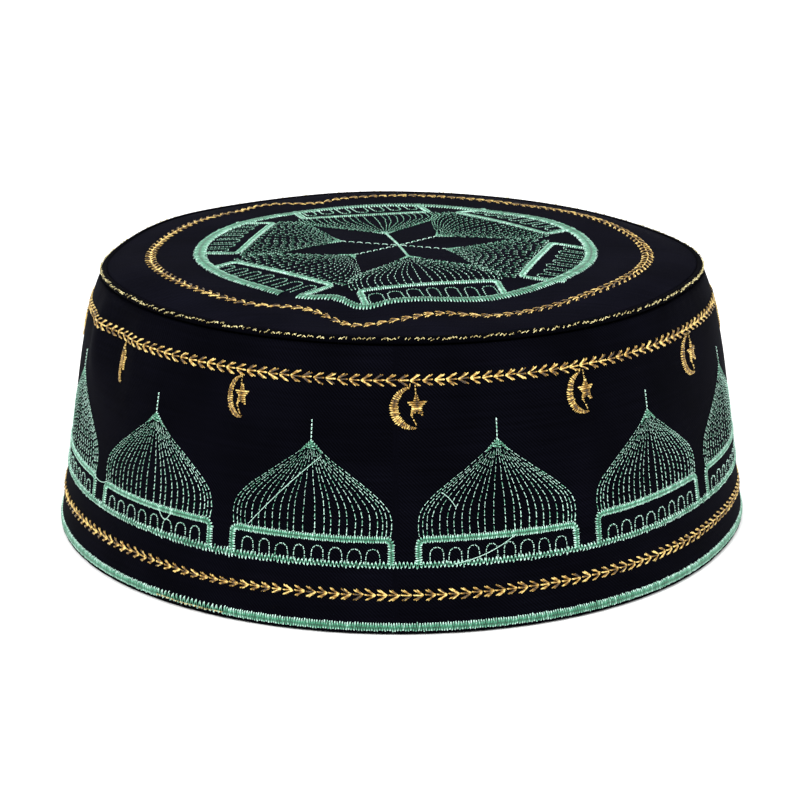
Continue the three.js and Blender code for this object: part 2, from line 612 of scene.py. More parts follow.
@dataclass
class RingPatch(Patch):
    """A sheet bent round the crown: v is how far outside its circle a point lies."""

    face: CrownFace
    radius: float
    centre: tuple[float, float] = (0.0, 0.0)

    def place(self, uv: Array) -> tuple[Array, Array]:
        """Points in millimetres and normals for rows of [u, v]."""
        turn = uv[:, 0] / self.radius
        reach = self.radius + uv[:, 1] + bump_sum(WANDER, turn, self.radius)
        x = self.centre[0] + reach * np.sin(turn)
        y = self.centre[1] - reach * np.cos(turn)
        return self.face.over(x, y)


@dataclass
class RayPatch(Patch):
    """A sheet flat on the crown: v runs from a foot at some radius straight to the middle. The
    cloth pulled a little under the needle, so the foot lies aside of its ray and out of square."""

    face: CrownFace
    angle: float
    foot: float
    middle: tuple[float, float]
    aside: float
    skew: float

    def place(self, uv: Array) -> tuple[Array, Array]:
        """Points in millimetres and normals for rows of [u, v]."""
        turn = math.radians(self.angle)
        out = np.array([math.sin(turn), -math.cos(turn)])
        side = np.array([math.cos(turn), math.sin(turn)])
        share = (self.foot - uv[:, 1]) / self.foot
        reach = self.foot - uv[:, 1] + self.skew * uv[:, 0] * share
        flat = reach[:, None] * out + (uv[:, 0] + self.aside * share)[:, None] * side
        return self.face.over(*(flat + self.middle).T)


@dataclass
class WeltPatch(Patch):
    """A sheet wrapped over the welt: v runs from its outer side up and in over its top."""

    ring: float
    height: float
    half_width: float
    half_depth: float

    def place(self, uv: Array) -> tuple[Array, Array]:
        """Points in millimetres and normals for rows of [u, v]."""
        turn, tilt = uv[:, 0] / self.ring, uv[:, 1] / self.half_width
        out = np.stack([np.sin(turn), -np.cos(turn), np.zeros_like(turn)], -1)
        up = np.array([0.0, 0.0, 1.0])
        cos, sin = np.cos(tilt)[:, None], np.sin(tilt)[:, None]
        ring = self.ring + bump_sum(SWELLS, turn, self.height)[:, None]
        height = self.height - bump_sum(DROPS, turn, self.height)[:, None]
        spot = out * (ring + self.half_width * cos) + up * (height + self.half_depth * sin)
        return spot, out * cos + up * sin


def lengths_along(path: Array) -> Array:
    """How far along a path each of its rows lies."""
    return np.concatenate([[0], np.cumsum(np.linalg.norm(np.diff(path, axis=0), axis=1))])


def rows_at(where: Array, along: Array, rows: Array) -> Array:
    """Reads rows of two numbers between those given.

    Args:
        where: The places to read.
        along: The place of each row, rising.
        rows: The rows.

    Returns:
        A row for each place.
    """
    return np.stack([np.interp(where, along, rows[:, i]) for i in (0, 1)], 1)


@dataclass(frozen=True)
class Lay:
    """How a thread lies: its width (or one for each stitch), how far its middle stands above the
    cloth, its mean brightness from 0 to 1, and how far the brightness strays."""

    width: float | Array
    rise: float
    tone: float
    spread: float = 0.25
    kind: Stitch = Stitch.SATIN


@dataclass
class Needlework:
    """Stitches of one piece, kept until they are joined into one mesh."""

    name: str
    finish: RayonThread
    seed: int
    starts: list[Array] = field(default_factory=list)
    ends: list[Array] = field(default_factory=list)
    normals: list[Array] = field(default_factory=list)
    shapes: list[Array] = field(default_factory=list)

    # One row for each kind of stitch, one column for each ring of vertices: where the ring lies
    # along the stitch, its share of the height, of the thread's width, and how much brighter the
    # thread is painted there: painted highlight at both ends of a satin stitch and near the start
    # of a running stitch, painted shade in their middles and at the end of a running stitch, none
    # on laid threads.
    ALONG = np.array([[0.0, 0.09, 0.22, 0.55, 0.9], [0.0, 0.14, 0.5, 0.86, 1.0],
                      [0.0, 0.25, 0.5, 0.75, 1.0]])
    ARCH = np.array([[0.6, 1.3, 0.5, 1.1, 0.0], [0.15, 0.8, 1.0, 0.8, 0.15], [1.0] * 5])
    GIRTH = np.array([[0.95, 1.35, 0.7, 1.0, 0.5], [0.75, 1.0, 1.0, 1.0, 0.75], [1.0] * 5])
    GLEAM = np.array([[0.6, 0.85, -0.2, 0.3, -0.3], [1.0, 0.5, -0.22, 0.42, 1.0], [0.0] * 5])

    TOOTH = 0.16  # by how much every third satin stitch is longer, for a comb-like edge
    LEAN = 0.45  # how far each end of a satin stitch runs ahead, as a share of the pitch
    SINK = 0.1  # how far the ends of a stitch dip into the cloth
    FLATNESS = 0.7  # height of the thread's section as a share of its width

    def __post_init__(self) -> None:
        """Starts the piece's own row of random numbers."""
        self.random = np.random.default_rng(SEED + self.seed)

    def sew(self, patch: Patch, start: Array, end: Array, lay: Lay) -> None:
        """Adds stitches between pairs of points of a sheet.

        Args:
            patch: The sheet.
            start: Rows of [u, v] where each stitch starts.
            end: Rows of [u, v] where each one ends.
            lay: How the thread lies.
        """
        start, end = np.atleast_2d(start), np.atleast_2d(end)
        first, n0 = patch.place(start)
        last, n1 = patch.place(end)
        middle, n2 = patch.place((start + end) / 2)
        count = len(start)
        sag = np.einsum("ij,ij->i", middle - (first + last) / 2, n2)
        tones = lay.tone + lay.spread * self.random.standard_normal(count)
        widths = lay.width * (1 + 0.08 * self.random.standard_normal(count))
        kinds = np.full(count, lay.kind.value)
        self.starts.append(first)
        self.ends.append(last)
        self.normals.append((n0 + n1 + n2) / np.linalg.norm(n0 + n1 + n2, axis=1)[:, None])
        self.shapes.append(np.stack([widths, lay.rise + np.maximum(sag, 0), tones, kinds], 1))

    def run(
        self, patch: Patch, path: Array, length: float, lay: Lay, gap: float = 0.06,
        wobble: float = 0.0, taper: float = 0.0,
    ) -> None:
        """Sews a running stitch along a path.

        Args:
            patch: The sheet.
            path: Rows of [u, v] along the line.
            length: Stitch length.
            lay: How the thread lies.
            gap: Length left between stitches, as a share of the stitch.
            wobble: How far the needle strays from the line.
            taper: The share of its width that the thread loses towards the end of the path.
        """
        along = lengths_along(path)
        count = max(1, round(along[-1] / length))
        holes = np.linspace(0, along[-1], count + 1)
        holes[1:-1] += self.random.uniform(-0.4, 0.4) * along[-1] / count
        spots = rows_at(holes, along, path)
        if wobble:
            spots = spots + wobble * self.random.standard_normal(spots.shape)
        start, end = spots[:-1], spots[1:]
        trim = (end - start) * gap / 2
        widths = lay.width * np.linspace(1.0, 1.0 - taper, count)
        self.sew(patch, start + trim, end - trim,
                 replace(lay, width=widths, kind=Stitch.RUNNING))

    def satin(
        self, patch: Patch, path: Array, breadth: float | Array, pitch: float, lay: Lay,
        ragged: float = 0.07, closed: bool = False,
    ) -> None:
        """Sews a bar of close zigzag stitches along a path.

        Args:
            patch: The sheet.
            path: Rows of [u, v] along the bar's middle.
            breadth: The bar's breadth, or one for each row of the path.
            pitch: Distance between neighbouring threads.
            lay: How the thread lies.
            ragged: How unevenly the stitches end.
            closed: Whether the bar meets itself, so that its last thread stays clear.
        """
        along = lengths_along(path)
        count = 2 * max(1, round(along[-1] / pitch / 2))
        holes = np.linspace(0, along[-1], count + (0 if closed else 1), endpoint=not closed)
        breadths = np.broadcast_to(np.asarray(breadth, float), (len(path),))
        spots = rows_at(holes, along, path)
        half = np.interp(holes, along, breadths) / 2
        tangents = rows_at(holes, along, np.gradient(path, axis=0))
        tangents /= np.linalg.norm(tangents, axis=1)[:, None]
        aside = np.stack([-tangents[:, 1], tangents[:, 0]], 1)
        stray = 1 + ragged * self.random.standard_normal((2, len(holes)))
        stray += self.TOOTH * (np.arange(len(holes)) % 3 == 0)
        lean = tangents * pitch * self.LEAN
        flip = np.where(np.arange(len(holes)) % 2 == 0, 1.0, -1.0)[:, None]
        start = spots - aside * (half * stray[0])[:, None] - flip * lean
        end = spots + aside * (half * stray[1])[:, None] + flip * lean
        self.sew(patch, start, end, lay)

    def build(self) -> bpy.types.Object:
        """Joins the stitches into one mesh and dresses it.

        Returns:
            The piece.
        """
        start, end = np.concatenate(self.starts), np.concatenate(self.ends)
        normal, shape = np.concatenate(self.normals), np.concatenate(self.shapes)
        kind = shape[:, 3].astype(int)
        along, arch, girth = self.ALONG[kind], self.ARCH[kind], self.GIRTH[kind]
        count, rings, sides = len(start), along.shape[1], self.finish.sides
        axis = end - start
        length = np.linalg.norm(axis, axis=1)
        side = np.cross(axis, normal)
        side /= np.maximum(np.linalg.norm(side, axis=1), 1e-9)[:, None]
        width, rise, tone = shape[:, 0], shape[:, 1], shape[:, 2]
        lift = rise[:, None] * arch - self.SINK * (1 - arch)
        middle = (
            start[:, None] + axis[:, None] * along[:, :, None]
            + normal[:, None] * lift[:, :, None]
        )
        turn = 2 * math.pi * (np.arange(sides) + 0.5) / sides
        half = width[:, None] / 2 * girth
        cross = (
            side[:, None, None] * np.cos(turn)[None, None, :, None]
            + self.FLATNESS * normal[:, None, None] * np.sin(turn)[None, None, :, None]
        )
        vertices = (middle[:, :, None] + half[:, :, None, None] * cross).reshape(-1, 3) * MM
        base = np.arange(count)[:, None, None] * rings * sides
        ring = np.arange(rings - 1)[None, :, None] * sides
        k = np.arange(sides)[None, None, :]
        nxt = (k + 1) % sides
        quads = np.stack([
            base + ring + k, base + ring + nxt,
            base + ring + sides + nxt, base + ring + sides + k,
        ], -1).reshape(-1, 4)
        caps = np.concatenate([
            (base[:, 0] + k[0, :, ::-1]).reshape(-1, sides),
            (base[:, 0] + (rings - 1) * sides + k[0]).reshape(-1, sides),
        ])
        u = length[:, None] * along
        uv = np.stack([
            np.repeat(u.reshape(-1), sides), np.tile(np.arange(sides) / sides, count * rings),
        ], 1)
        # The tone of each ring: the stitch's own tone with the painted highlight and shade of
        # GLEAM.
        tones = np.repeat(np.clip(tone[:, None] + self.GLEAM[kind], 0, 1).reshape(-1), sides)
        piece = mesh_piece(self.name, vertices, [quads, caps], "thread", uv)
        mark = piece.data.attributes.new("tone", "FLOAT", "POINT")
        mark.data.foreach_set("value", tones.astype(np.float32))
        return keep(piece, self.finish)


def mesh_piece(
    name: str, vertices: Array, faces: list[Array], uv_name: str, uv: Array,
) -> bpy.types.Object:
    """Makes an object from arrays of vertices and faces.

    Args:
        name: The object's name.
        vertices: Rows of x, y, z in metres.
        faces: Arrays of vertex numbers, each with its own number of corners a face.
        uv_name: Name of the UV map.
        uv: A row for each vertex.

    Returns:
        The object, linked to the scene.
    """
    mesh = bpy.data.meshes.new(name)
    corners = np.concatenate([f.reshape(-1) for f in faces]).astype(np.int32)
    sizes = np.concatenate([np.full(len(f), f.shape[1]) for f in faces]).astype(np.int32)
    starts = np.concatenate([[0], np.cumsum(sizes)[:-1]]).astype(np.int32)
    mesh.vertices.add(len(vertices))
    mesh.vertices.foreach_set("co", vertices.astype(np.float32).reshape(-1))
    mesh.loops.add(len(corners))
    mesh.loops.foreach_set("vertex_index", corners)
    mesh.polygons.add(len(sizes))
    mesh.polygons.foreach_set("loop_start", starts)
    mesh.polygons.foreach_set("use_smooth", np.full(len(sizes), True))
    layer = mesh.uv_layers.new(name=uv_name)
    layer.data.foreach_set("uv", uv[corners].astype(np.float32).reshape(-1))
    mesh.update(calc_edges=True)
    mesh.validate()
    piece = bpy.data.objects.new(name, mesh)
    bpy.context.collection.objects.link(piece)
    return piece


def keep(
    piece: bpy.types.Object, finish: RayonThread | CottonTwill, *nodes: str,
) -> bpy.types.Object:
    """Dresses a piece, ties it to the body and hides the frame nodes it stands for.

    Args:
        piece: The piece.
        finish: What it is made of.
        nodes: Frame nodes that it replaces.

    Returns:
        The piece.
    """
    piece.data.materials.append(finish.material())
    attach(piece, BODY)
    if nodes:
        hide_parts(*nodes)
    triangles = sum(p.loop_total - 2 for p in piece.data.polygons)
    log.info("%s: %d triangles", piece.name, triangles)
    return piece


def turned_shell(name: str, loops: Array, uv: Array, closed: bool) -> bpy.types.Object:
    """Makes a shell from loops of points round the cap.

    Args:
        name: The object's name.
        loops: Array of [loop, point, xyz] in millimetres, faces out where the loops of an outer
            side rise.
        uv: A [u, v] in millimetres for each point.
        closed: Whether the last loop joins the first; otherwise flat caps close the ends.

    Returns:
        The object.
    """
    rows, around = loops.shape[:2]
    count = rows if closed else rows - 1
    i = np.arange(count)[:, None] * around
    j = (np.arange(count)[:, None] + 1) % rows * around
    k = np.arange(around)[None]
    n = (k + 1) % around
    faces = [np.stack([i + k, i + n, j + n, j + k], -1).reshape(-1, 4)]
    if not closed:
        faces.append(np.concatenate([k[:, ::-1], (rows - 1) * around + k]))
    return mesh_piece(name, loops.reshape(-1, 3) * MM, faces, "cloth", uv.reshape(-1, 2))


@dataclass(frozen=True)
class Cut:
    """The flat shape of a piece of cloth before it was sewn: its rectangle in metres and its
    area in square metres."""

    flat: tuple[float, float]
    area: float


@dataclass
class ClothBody:
    """The sewn cloth: side, crown, welt and hem, each over its frame node."""

    band: BandFace
    crown: CrownFace
    around: int = 360
    side_rows: int = 56
    crown_rows: int = 64
    roll_rows: int = 20
    roll_share: float = 0.99  # of the frame node's width, so that the waves stay inside it
    roll_waves: tuple[tuple[float, ...], ...] = ((0.03, 90, 0), (0.02, 37, 1))
    wall: float = 2.0
    sheet: float = 1.6
    pucker: float = 0.12
    pucker_length: float = 5.2
    pucker_reach: float = 4.0
    inside_v: float = 90.0  # how far the inside lies from the outside on the UV sheet
    hub: float = 0.4  # radius of the flat cap in the middle of the crown
    tuck: float = 0.5  # by how much the crown's last row runs out under the welt
    dip: float = 0.1  # and by how much it dips there
    thin: float = 0.5  # and by how much thinner the sheet is there
    ease: float = 0.12  # by how much the hem closes up to the cloth that it binds

    def turns(self) -> Array:
        """Angles round the cap, in radians."""
        return np.linspace(0, 2 * math.pi, self.around, endpoint=False)

    def side(self) -> None:
        """Builds the side: a stiff wall with small puckers under the crown seam."""
        low, high = (c.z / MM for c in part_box("side_band"))
        t, z = np.meshgrid(self.turns(), np.linspace(low, high, self.side_rows))
        outer, normal = self.band.lifted(t, z)
        fade = np.exp(-((high - z) / self.pucker_reach))[..., None]
        waves = 2 * math.pi * self.band.offset(t, z) / self.pucker_length
        ripple = np.sin(np.round(waves[0, 0]) * t) * (0.6 + 0.4 * np.sin(7 * t))
        outer = outer - normal * self.pucker * fade * (1 + ripple[..., None]) / 2
        inner = (outer - normal * self.wall)[::-3]
        radius = self.band.offset(t, z).mean()
        flat_out = np.stack([t * radius, z], -1)
        flat_in = np.stack([t * radius, z - self.inside_v], -1)[::-3]
        flat = np.concatenate([flat_out, flat_in])
        piece = turned_shell("side_cloth", np.concatenate([outer, inner]), flat, True)
        keep(piece, BAND_CLOTH, "side_band")

    def top(self) -> None:
        """Builds the crown: a stiff sheet with soft dents, whose edge dips under the welt."""
        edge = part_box("crown_panel")[1].x / MM
        radii = np.linspace(self.hub, edge - 0.2, self.crown_rows)
        t, r = np.meshgrid(self.turns(), np.concatenate([radii, [edge + self.tuck]]))
        upper = self.crown.lifted(t, r)[0]
        upper[-1, :, 2] -= self.dip
        lower = upper.copy()
        lower[..., 2] -= self.sheet
        lower[-1, :, 2] += self.thin
        loops = np.concatenate([lower[::3], upper[::-1]])
        piece = turned_shell("crown_cloth", loops, loops[..., :2], False)
        keep(piece, CROWN_CLOTH, "crown_panel")

    def roll(
        self, name: str, node: str, finish: CottonTwill, grow: float, squareness: float,
    ) -> None:
        """Builds a rolled ring of cloth in the space of a frame node.

        Args:
            name: The piece's name.
            node: The frame node.
            finish: The cloth.
            grow: How far its upper side closes up to its neighbour.
            squareness: Power of its rounded section, 2 for round and more for squarer.
        """
        ring, half_width, middle, half_depth = ring_of(node)
        tilts = np.linspace(0, 2 * math.pi, self.roll_rows, endpoint=False)
        t, tilt = np.meshgrid(self.turns(), tilts)
        power = 2 / squareness
        cos = np.sign(np.cos(tilt)) * np.abs(np.cos(tilt)) ** power
        sin = np.sign(np.sin(tilt)) * np.abs(np.sin(tilt)) ** power
        uneven = 1.0
        for depth, waves, start in self.roll_waves:
            uneven = uneven + depth * np.sin(waves * t + start)
        radius = ring + half_width * cos * np.where(cos > 0, uneven, 1.0) * self.roll_share
        radius = radius + bump_sum(SWELLS, t, middle)
        height = middle + half_depth * sin + grow * np.maximum(sin, 0)
        height = height - bump_sum(DROPS, t, middle)
        flat = np.stack([t * ring, tilt * half_width], -1)
        keep(turned_shell(name, round_points(radius, t, height), flat, True), finish, node)

    def build(self) -> None:
        """Builds all four cloth pieces."""
        self.side()
        self.top()
        self.roll("welt_roll", "seam_welt", WELT_CLOTH, 0.0, 2.0)
        self.roll("hem_roll", "hem_binding", HEM_CLOTH, self.ease, 3.5)


def ring_of(node: str) -> tuple[float, float, float, float]:
    """Middle radius, half width, middle height and half depth of a ring node.

    Args:
        node: The frame node, a ring round the Z axis.

    Returns:
        The four lengths in millimetres.
    """
    corners = np.array([v.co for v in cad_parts[node].data.vertices]) / MM
    radii = np.hypot(corners[:, 0], corners[:, 1])
    low, high = radii.min(), radii.max()
    foot, top = corners[:, 2].min(), corners[:, 2].max()
    return (low + high) / 2, (high - low) / 2, (foot + top) / 2, (top - foot) / 2


@dataclass
class Motif(ABC):
    """One piece of needlework, with its sheet and its own row of random numbers."""

    patch: Patch
    name: str
    seed: int
    finish: ClassVar[RayonThread] = MINT

    @abstractmethod
    def stitch(self, work: Needlework) -> None:
        """Sews all its stitches, in a fixed order."""

    def build(self) -> None:
        """Sews the motif and joins its stitches into one piece."""
        work = Needlework(self.name, self.finish, self.seed)
        self.stitch(work)
        work.build()


# Half width of a dome as a share of its greatest, up its height.
DOME_OUTLINE = np.array([
    [0.00, 0.985], [0.10, 1.00], [0.20, 0.995], [0.31, 0.95], [0.46, 0.79], [0.60, 0.59],
    [0.68, 0.465], [0.77, 0.33], [0.87, 0.18], [0.95, 0.075], [1.00, 0.0],
])
# Where the ribs of half a dome stand, as shares of its half width.
RIBS = (0.073, 0.19, 0.27, 0.376, 0.47, 0.567, 0.648, 0.745, 0.835, 0.896, 0.945, 1.0)
# How far up the dome each of them runs, since the rest of the way they would crowd.
RIB_ENDS = (0.94, 0.9, 0.93, 0.87, 0.91, 0.84, 0.89, 0.82, 0.86, 0.74, 0.66, 0.965)


@dataclass
class DomeMotif(Motif):
    """A ribbed dome with a finial over a box with a row of small arches. Its foot line is v = 0."""

    box_half: float = 20.85
    box_height: float = 6.85
    bar: float = 1.5
    corner: float = 1.4
    dome_half: float = 20.2
    dome_height: float = 21.9
    finial: float = 5.6
    arches: int = 8
    arch_step: float = 4.5
    arch_width: float = 2.9
    arch_height: float = 4.1
    rib_stitch: float = 2.0
    thread: float = 0.22
    rise: float = 0.12
    tone: float = 0.56
    gap: float = 0.08
    dense: bool = False
    solid_finial: bool = False
    finial_stitch: float = 1.0
    crooked: float = 0.05
    rib_weights: ClassVar[tuple[float, float]] = (0.9, 1.15)  # light and heavy half, of the thread
    rib_gleams: ClassVar[tuple[float, float]] = (0.0, 0.1)  # likewise, on top of the tone
    rib_taper: ClassVar[float] = 0.5  # share of its width that a rib loses on its way up
    tip_from: ClassVar[float] = 0.89  # share of the height where the solid tip starts
    tip_satin: ClassVar[tuple[float, Lay]] = (0.36, Lay(0.3, 0.26, 0.12, 0.18))
    bar_satin: ClassVar[tuple[float, Lay]] = (0.29, Lay(0.33, 0.26, 0.26, 0.18))
    spire_satin: ClassVar[tuple[float, Lay]] = (0.4, Lay(0.36, 0.35, 0.45, 0.18))
    post_foot: ClassVar[float] = 0.3  # where the posts start above the foot line

    def half_at(self, share: Array) -> Array:
        """Half width of the dome at shares of its height."""
        return self.dome_half * soft_curve(share, DOME_OUTLINE[:, 0], DOME_OUTLINE[:, 1])

    def ribs(self, work: Needlework) -> None:
        """Sews the ribs from the box up to the tip."""
        for side in (-1, 1):
            heavy = side > 0 or self.dense
            width = self.thread * self.rib_weights[heavy]
            lay = Lay(width, self.rise, self.tone + self.rib_gleams[heavy], 0.15)
            for i, (rib, end) in enumerate(zip(RIBS, RIB_ENDS)):
                shares = np.linspace(0.0, end, 40)
                u = side * rib * self.half_at(shares)
                path = np.stack([u, self.box_height + shares * self.dome_height], 1)
                length = self.rib_stitch * (1 + 0.04 * (i % 3))
                work.run(
                    self.patch, path, length, lay, self.gap, self.crooked, self.rib_taper,
                )

    def tip(self, work: Needlework) -> None:
        """Sews the solid tip of the dome and the finial above it."""
        top = self.box_height + self.dome_height
        shares = np.linspace(self.tip_from, 1.0, 8)
        v = self.box_height + shares * self.dome_height
        for side in (-1, 1):
            edge = np.stack([side * self.half_at(shares) * 0.9, v], 1)
            work.satin(self.patch, edge, np.linspace(0.35, 0.9, 8), *self.tip_satin)
        middle = np.array([[0.0, top - 1.5], [0.0, top - 0.1]])
        work.satin(self.patch, middle, np.array([1.9, 0.3]), *self.tip_satin)
        spire = np.array([[0.0, top], [0.0, top + self.finial]])
        if self.solid_finial:
            work.satin(self.patch, spire, 0.45, *self.spire_satin)
        else:
            self.dashes(work, spire)

    def dashes(self, work: Needlework, line: Array) -> None:
        """Sews the finial as a row of short bright dashes."""
        count = round(self.finial / self.finial_stitch)
        share = np.linspace(0, 1, count + 1)[:, None]
        spots = line[0] + (line[1] - line[0]) * share
        reach = (spots[1:] - spots[:-1]) * 0.72
        lay = Lay(self.thread * 1.45, 0.25, 0.85)
        work.sew(self.patch, spots[:-1], spots[:-1] + reach, lay)

    def box(self, work: Needlework) -> None:
        """Sews the satin frame under the dome: a post, the bar round two soft corners, a post."""
        half, top = self.box_half - self.bar / 2, self.box_height - self.bar / 2
        bend = np.radians(np.linspace(180, 90, 6))
        corner = self.corner * np.stack([np.cos(bend), np.sin(bend)], 1)
        left = corner + [self.corner - half, top - self.corner]
        right = (left * [-1, 1])[::-1]
        feet = np.array([[-half, self.post_foot], [half, self.post_foot]])
        path = np.concatenate([feet[:1], left, right, feet[1:]])
        fine = np.linspace(0, len(path) - 1, 12 * (len(path) - 1) + 1)
        path = rows_at(fine, np.arange(len(path)), path)
        work.satin(self.patch, path, self.bar, *self.bar_satin)

    def arcade(self, work: Needlework) -> None:
        """Sews the row of small round-headed arches on the foot line."""
        turn = np.linspace(math.pi, 0, 9)
        lay = Lay(self.thread * 1.2, self.rise, self.tone + 0.15, 0.15)
        for i in range(self.arches):
            middle = (i - (self.arches - 1) / 2) * self.arch_step
            wide = self.arch_width * (1 + 0.14 * work.random.uniform(-1, 1)) / 2
            tall = self.arch_height * (1 + 0.06 * work.random.uniform(-1, 1))
            head = np.stack([middle + wide * np.cos(turn), tall - wide + wide * np.sin(turn)], 1)
            feet = np.array([[middle - wide * 1.05, 0.2], [middle + wide * 1.05, 0.2]])
            path = np.concatenate([feet[:1], head, feet[1:]])
            work.run(self.patch, path, 1.1, lay, wobble=0.04)

    def stitch(self, work: Needlework) -> None:
        """Sews the ribs, the tip, the box and its arches."""
        self.ribs(work)
        self.tip(work)
        self.box(work)
        self.arcade(work)


@dataclass
class CrescentMotif(Motif):
    """A satin crescent, open to the right, with a small star on a thread. v is the height."""

    chain_foot: float
    centre_u: float = 2.9
    centre_v: float = 54.0
    radius: float = 4.95
    breadth: float = 1.85
    star_u: float = 4.25
    star_v: float = 54.5
    star_radius: float = 2.6
    edge_u: float = 6.7  # the side that stays in place where the cloth pulled together
    squeeze: float = 1.0  # how much narrower the pulled cloth makes the crescent
    shift: float = 0.0
    sweep: ClassVar[tuple[float, float]] = (95.0, 285.0)  # from the upper tip to the lower one
    fullness: ClassVar[float] = 0.7  # power of its narrowing, less for a fuller crescent
    star_waist: ClassVar[float] = 0.46  # the star's inner corners, as a share of its radius
    star_rows: ClassVar[tuple[float, ...]] = (-0.78, 0.98, 0.18)  # first, end and step, likewise
    star_stretch: ClassVar[tuple[float, float]] = (0.84, 1.04)
    satin_lay: ClassVar[Lay] = Lay(0.28, 0.3, 0.18, 0.45)
    star_lay: ClassVar[Lay] = Lay(0.44, 0.3, 0.26, 0.35)
    run_lay: ClassVar[Lay] = Lay(0.28, 0.3, 0.6, 0.15)
    finish: ClassVar[RayonThread] = GOLD

    def sheet(self, squeeze: float) -> Patch:
        """The sheet made narrower, towards the side where the star is."""
        return MovedPatch(self.patch, squeeze, self.edge_u * (1 - squeeze) + self.shift, 0.0)

    def crescent(self, work: Needlework) -> None:
        """Sews the crescent as one bar that narrows to both tips."""
        turn = np.radians(np.linspace(*self.sweep, 40))
        share = np.clip(np.linspace(0, 1, 40), 0.03, 0.97)
        breadth = self.breadth * np.sin(math.pi * share) ** self.fullness
        line = self.radius - breadth / 2
        path = np.stack([
            self.centre_u + line * np.cos(turn), self.centre_v + line * np.sin(turn)], 1)
        work.satin(self.sheet(self.squeeze), path, breadth, 0.25, self.satin_lay, ragged=0.1)

    def star(self, work: Needlework) -> None:
        """Fills a five-pointed star with level stitches, row by row."""
        turns = np.radians(90 + 36 * np.arange(11))
        reach = self.star_radius * np.where(np.arange(11) % 2 == 0, 1.0, self.star_waist)
        corners = np.stack([reach * np.cos(turns), reach * np.sin(turns)], 1)
        sheet = self.sheet(math.sqrt(self.squeeze))
        for level in np.arange(*self.star_rows) * self.star_radius:
            hits = sorted(
                a[0] + (b[0] - a[0]) * (level - a[1]) / (b[1] - a[1])
                for a, b in zip(corners[:-1], corners[1:])
                if (a[1] - level) * (b[1] - level) < 0
            )
            for left, right in zip(hits[::2], hits[1::2]):
                over = 0.1 + 0.3 * work.random.random(2)
                ends = np.array([[left - over[0], level], [right + over[1], level + 0.14]])
                ends = ends * self.star_stretch + [self.star_u, self.star_v]
                work.sew(sheet, ends[:1], ends[1:], self.star_lay)

    def threads(self, work: Needlework) -> None:
        """Sews the threads from the chain to the star, on to the crescent, and to its top."""
        star, moon = self.sheet(math.sqrt(self.squeeze)), self.sheet(self.squeeze)
        hang = (self.star_u - 0.35, self.chain_foot)
        top = (self.star_u - 0.2, self.star_v + self.star_radius - 0.2)
        foot = (self.star_u - 1.3, self.star_v - self.star_radius * 0.8)
        tip = (self.centre_u + 1.5, self.centre_v - self.radius + 0.5)
        rim = (self.centre_u - 0.2, self.chain_foot + 0.3)
        neck = (self.centre_u - 0.3, self.centre_v + self.radius - 0.2)
        for sheet, start, end, length, tone, gap in (
            (star, hang, top, 0.8, 0.7, 0.2),
            (star, foot, tip, 1.4, 0.6, 0.1),
            (moon, rim, neck, 0.8, 0.6, 0.1),
        ):
            lay = replace(self.run_lay, tone=tone)
            work.run(sheet, np.array([start, end]), length, lay, gap)

    def stitch(self, work: Needlework) -> None:
        """Sews the crescent, the star and the threads that hold it."""
        self.crescent(work)
        self.star(work)
        self.threads(work)


# The threads of one chevron: start and end as [share of the pitch, share of half the height].
CHEVRON = np.array([
    [[1.06, 0.00], [0.22, 1.00]],
    [[0.98, 0.10], [0.44, 1.02]],
    [[1.06, 0.00], [0.22, -1.00]],
    [[0.98, -0.10], [0.44, -1.02]],
    [[1.00, 0.00], [0.18, 0.05]],
])


@dataclass
class ChevronChain(Motif):
    """A ring of small arrowheads."""

    length: float
    middle: float
    way: Way
    pitch: float = 2.87
    height: float = 2.5
    lay: Lay = Lay(0.4, 0.24, 0.3, 0.42)
    finish: ClassVar[RayonThread] = GOLD

    def stitch(self, work: Needlework) -> None:
        """Sews the ring, one thread of every chevron after the other."""
        count = round(self.length / self.pitch)
        pitch = self.length / count
        first = np.arange(count) * pitch
        for share in CHEVRON:
            stray = 0.07 * work.random.standard_normal((2, count, 2))
            start, end = (
                np.stack([
                    self.way.value * (first + s[0] * pitch) + stray[i, :, 0],
                    self.middle + s[1] * self.height / 2 + stray[i, :, 1],
                ], 1)
                for i, s in enumerate(share)
            )
            work.sew(self.patch, start, end, self.lay)


@dataclass
class SatinRing(Motif):
    """A closed or broken ring of satin stitches."""

    length: float
    middle: float
    breadth: float
    pitch: float
    thread: float
    tone: float
    ragged: float = 0.08
    start: float = 0.0
    end: float = 1.0

    def stitch(self, work: Needlework) -> None:
        """Sews the ring from its start to its end."""
        u = np.linspace(self.start, self.end, 721) * self.length
        path = np.stack([u, np.full_like(u, self.middle)], 1)
        closed = self.end - self.start == 1.0
        lay = Lay(self.thread, 0.26, self.tone, 0.18)
        work.satin(self.patch, path, self.breadth, self.pitch, lay, self.ragged, closed)


# From which angle to which the hem's stitches stand open and show the pale bobbin thread.
HEM_OPENS = (-40.5, -27.5)


@dataclass
class HemBobbin(Motif):
    """The pale bobbin thread that shows between the open stitches of the hem."""

    patch: BandPatch
    height: float
    lay: ClassVar[Lay] = Lay(0.34, 0.44, 0.5, 0.15)
    finish: ClassVar[RayonThread] = PALE_GOLD

    def stitch(self, work: Needlework) -> None:
        """Sews one line of long stitches."""
        u = np.radians(np.linspace(*HEM_OPENS, 40)) * self.patch.radius
        path = np.stack([u, np.full_like(u, self.height)], 1)
        work.run(self.patch, path, 1.5, self.lay, gap=0.2, wobble=0.06)


